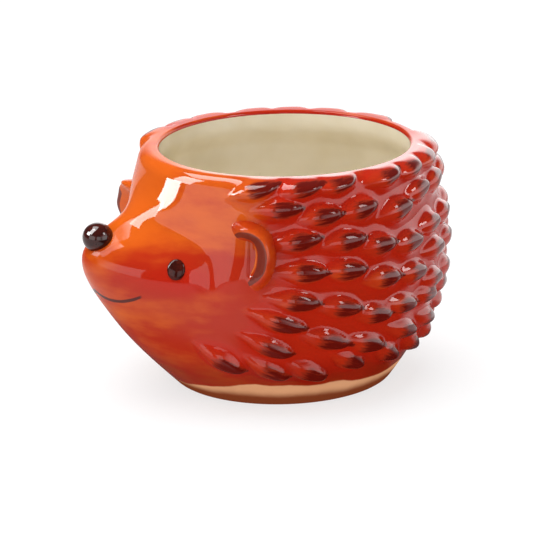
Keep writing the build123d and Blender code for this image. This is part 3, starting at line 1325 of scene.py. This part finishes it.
@dataclass
class PotFoot:
    """The bare underside: ring and shallow recess."""

    form: PotForm
    axis: np.ndarray
    columns: int = 160
    ring: float = 8.0
    recess: float = 2.0
    foot_round: float = 1.2

    def build(self) -> bpy.types.Object:
        """Shape the underside.

        Returns:
            The underside.
        """
        turn = np.linspace(-math.pi, math.pi, self.columns, endpoint=False)
        edge = self.form.outline(turn, np.array(0.0)) - self.foot_round
        half_width = self.form.flank[0][0]
        inner = self.form.oval(turn, half_width * self.form.length_to_width - self.ring, half_width - self.ring)
        rows = [self.form.spot(turn, edge, 0.0)]
        rows.append(self.form.spot(turn, inner + 0.6, 0.0))
        rows.append(self.form.spot(turn, inner + 0.15, 0.25))
        rows.append(self.form.spot(turn, inner, self.recess - 0.4))
        rows.append(self.form.spot(turn, inner - 0.4, self.recess))
        rows += [self.form.spot(turn, inner * share, self.recess) for share in (0.66, 0.33, 0.0)]
        piece = wrap_grid("pot_foot", self.columns, len(rows) - 1, (np.array(rows) + self.axis) * MM)
        settle(piece)
        return piece


@dataclass
class Nose:
    """Glossy ball on the end of the muzzle, a little wider than tall and flattened where it sits."""

    form: PotForm
    axis: np.ndarray
    reach: float = 95.4
    level: float = 78.8
    radius: float = 6.9

    def build(self) -> bpy.types.Object:
        """Shape the nose.

        Returns:
            The nose.
        """
        deselect()
        bpy.ops.mesh.primitive_uv_sphere_add(segments=64, ring_count=40, radius=self.radius * MM)
        piece = take("nose_ball")
        bpy.ops.object.mode_set(mode="EDIT")
        bpy.ops.mesh.select_all(action="SELECT")
        bpy.ops.transform.resize(value=(1.04, 1.0, 0.97))
        bpy.ops.object.mode_set(mode="OBJECT")
        place = np.array([0.0, -self.reach, self.level]) + self.axis
        for vertex in piece.data.vertices:
            drop = max(0.0, -vertex.co.z) / (self.radius * MM)
            vertex.co.x *= 1 - 0.06 * drop
            vertex.co += Vector(place * MM)
        settle(piece)
        return piece


@dataclass
class Eye:
    """Low oval dome of one eye, set into the cheek."""

    form: PotForm
    axis: np.ndarray
    side: Side
    angle: float = 24.0
    level: float = 0.635
    width: float = 8.0
    height: float = 9.4
    proud: float = 1.3

    def build(self) -> bpy.types.Object:
        """Shape the eye.

        Returns:
            The eye.
        """
        deselect()
        bpy.ops.mesh.primitive_uv_sphere_add(segments=48, ring_count=32, radius=1.0)
        piece = take(f"eye_{self.side.name.lower()}_dome")
        turn = math.radians(self.angle) * self.side.value
        middle, facing = self.form.on_wall(turn, self.level * self.form.height)
        across = np.cross((0.0, 0.0, 1.0), facing)
        across /= np.linalg.norm(across)
        upward = np.cross(facing, across)
        for vertex in piece.data.vertices:
            x, y, z = vertex.co
            depth = (self.proud if z > 0 else 2.5) * z
            spot = middle + across * (x * self.width / 2) + upward * (y * self.height / 2) + facing * depth
            vertex.co = Vector((spot + self.axis) * MM)
        settle(piece)
        return piece


@dataclass
class Studio:
    """White table, soft lights and the camera at the photograph's angle."""

    axis: np.ndarray
    azimuth: float = 60.0
    elevation: float = 17.8
    distance: float = 1400.0
    focus_level: float = 55.0
    pixel: float = 0.46
    focus_pixel: tuple[float, float] = (284.5, 256.0)
    back_azimuth: float = 172.0
    back_wall: float = 3.0
    dark_room: float = 0.12
    soft_room: float = 0.45
    paper: float = 1.05
    flag_size: float = 1.6

    def camera(self) -> None:
        """Add the camera that the picture is taken with."""
        turn, rise = math.radians(self.azimuth), math.radians(self.elevation)
        outward = toward(turn, rise)
        right = Vector((math.cos(turn), math.sin(turn), 0.0))
        upward = outward.cross(right)
        focus = Vector(self.axis) + Vector((0.0, 0.0, self.focus_level))
        eye = focus + outward * self.distance
        aside = (self.focus_pixel[0] - IMAGE_SIDE / 2) * self.pixel
        below = (self.focus_pixel[1] - IMAGE_SIDE / 2) * self.pixel
        aim = focus - right * aside + upward * below
        data = bpy.data.cameras.new("camera")
        data.sensor_width = 36.0
        data.lens = 36.0 * self.distance / self.pixel / IMAGE_SIDE
        data.clip_end = 20.0
        camera = bpy.data.objects.new("camera", data)
        bpy.context.collection.objects.link(camera)
        camera.location = eye * MM
        camera.rotation_euler = (aim - eye).to_track_quat("-Z", "Y").to_euler()
        bpy.context.scene.camera = camera

    def softbox(self, name: str, stand: tuple[float, float, float], size: tuple[float, float], radiance: float,
                use: LightUse) -> None:
        """Add one soft light that faces the pot.

        Args:
            name: Name of the light.
            stand: Azimuth and elevation in degrees and distance in metres, from the pot's middle.
            size: Width and height in metres.
            radiance: How bright its face is.
            use: What it lights.
        """
        turn, rise = math.radians(stand[0]), math.radians(stand[1])
        outward = toward(turn, rise)
        data = bpy.data.lights.new(name, "AREA")
        data.shape = "RECTANGLE"
        data.size, data.size_y = size
        data.energy = radiance * math.pi * size[0] * size[1]
        light = bpy.data.objects.new(name, data)
        bpy.context.collection.objects.link(light)
        middle = (Vector(self.axis) + Vector((0.0, 0.0, self.focus_level))) * MM
        light.location = middle + outward * stand[2]
        light.rotation_euler = outward.to_track_quat("Z", "Y").to_euler()
        light.visible_camera = False
        light.visible_diffuse = use is not LightUse.GLOSS
        light.visible_glossy = use is not LightUse.SOFT

    def table(self) -> None:
        """Add the white table top."""
        deselect()
        bpy.ops.mesh.primitive_plane_add(size=6.0)
        table = take("table_top")
        table.data.materials.append(StudioWhite().make())

    def flag(self) -> None:
        """Lay dark cloth over the table, seen in reflections only; its ring close under the pot is painted shadow.
        """
        deselect()
        bpy.ops.mesh.primitive_plane_add(size=self.flag_size)
        cloth = take("dark_flag")
        bpy.ops.object.mode_set(mode="EDIT")
        bpy.ops.mesh.select_all(action="SELECT")
        bpy.ops.transform.translate(value=(0.0, 0.0, MM))
        bpy.ops.object.mode_set(mode="OBJECT")
        cloth.data.materials.append(FlagBlack(self.axis[1]).make())
        cloth.visible_camera = cloth.visible_diffuse = cloth.visible_shadow = False

    def surround(self) -> None:
        """Light the room: even for soft light, and for reflections white behind and dark overhead and in front."""
        book = NodeBook(bpy.data.worlds.new("studio"))
        bpy.context.scene.world = book.owner
        x, y, z = book.parts(book.add("ShaderNodeTexCoord", {}, {}).outputs["Generated"])
        turn = math.radians(self.back_azimuth)
        behind = (x * math.sin(turn) - y * math.cos(turn)).step(-0.1, 0.4)
        gloss = behind * z.step(0.58, 0.34) * self.back_wall + self.dark_room
        path = book.add("ShaderNodeLightPath", {}, {})
        glossy = Wire(book, path.outputs["Is Glossy Ray"])
        camera = Wire(book, path.outputs["Is Camera Ray"])
        strength = glossy * gloss + (1 - glossy) * self.soft_room
        strength = camera * self.paper + (1 - camera) * strength
        room = book.add("ShaderNodeBackground", {}, {"Color": (1.0, 1.0, 1.0, 1.0), "Strength": strength})
        book.add("ShaderNodeOutputWorld", {}, {"Surface": room.outputs[0]})

    def build(self) -> None:
        """Set up the whole studio."""
        self.camera()
        self.table()
        self.flag()
        self.surround()
        self.softbox("tall_softbox", (-5.5, 36.0, 0.195), (0.05, 0.085), 20.0, LightUse.GLOSS)
        self.softbox("low_softbox", (-12.5, 20.9, 0.193), (0.046, 0.03), 34.0, LightUse.GLOSS)
        self.softbox("front_card", (12.0, 12.8, 0.9), (0.70, 0.41), 2.6, LightUse.ALL)
        self.softbox("side_card", (60.0, 12.8, 0.9), (0.44, 0.41), 2.4, LightUse.GLOSS)
        self.softbox("lip_card", (-50.0, 68.0, 0.9), (0.45, 0.45), 9.0, LightUse.GLOSS)
        self.softbox("flank_fill", (95.0, 12.0, 1.0), (0.8, 0.8), 1.3, LightUse.SOFT)
        self.softbox("window", (118.0, 42.0, 1.2), (0.30, 0.35), 12.0, LightUse.GLOSS)
        self.softbox("top_softbox", (-50.0, 78.0, 1.3), (1.7, 1.7), 3.1, LightUse.SOFT)


def main() -> None:
    """Build every piece in order, dress it and report it."""
    logging.basicConfig(level=logging.INFO, format="%(name)s %(message)s")
    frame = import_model()
    form = PotForm()
    axis_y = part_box("nose")[0][1] / MM + Nose.reach + Nose.radius
    axis = np.array([0.0, axis_y, 0.0])
    quills = sorted(name for name in frame["nodes"] if name.startswith("quill_row"))
    glaze = BodyGlaze(axis_y).make()
    wear(PotSkin(form, axis).build(), glaze, ["pot_wall", *quills])
    wear(PotLining(form, axis).build(), LiningGlaze().make(), ["pot_wall"])
    wear(PotFoot(form, axis).build(), BareClay().make(), ["pot_wall"])
    wear(Nose(form, axis).build(), DarkGlaze().make(), ["nose"])
    eye_glaze = DarkGlaze("eye_glaze", 0.3).make()
    for side in Side:
        wear(Eye(form, axis, side).build(), eye_glaze, [f"eye_{side.name.lower()}"])
        wear(EarCurl.of(form, axis, side).build(), glaze, [f"ear_{side.name.lower()}"])
    Studio(axis).build()
    view = bpy.context.scene.view_settings
    view.view_transform = "Standard"


if __name__ == "__main__":
    main()
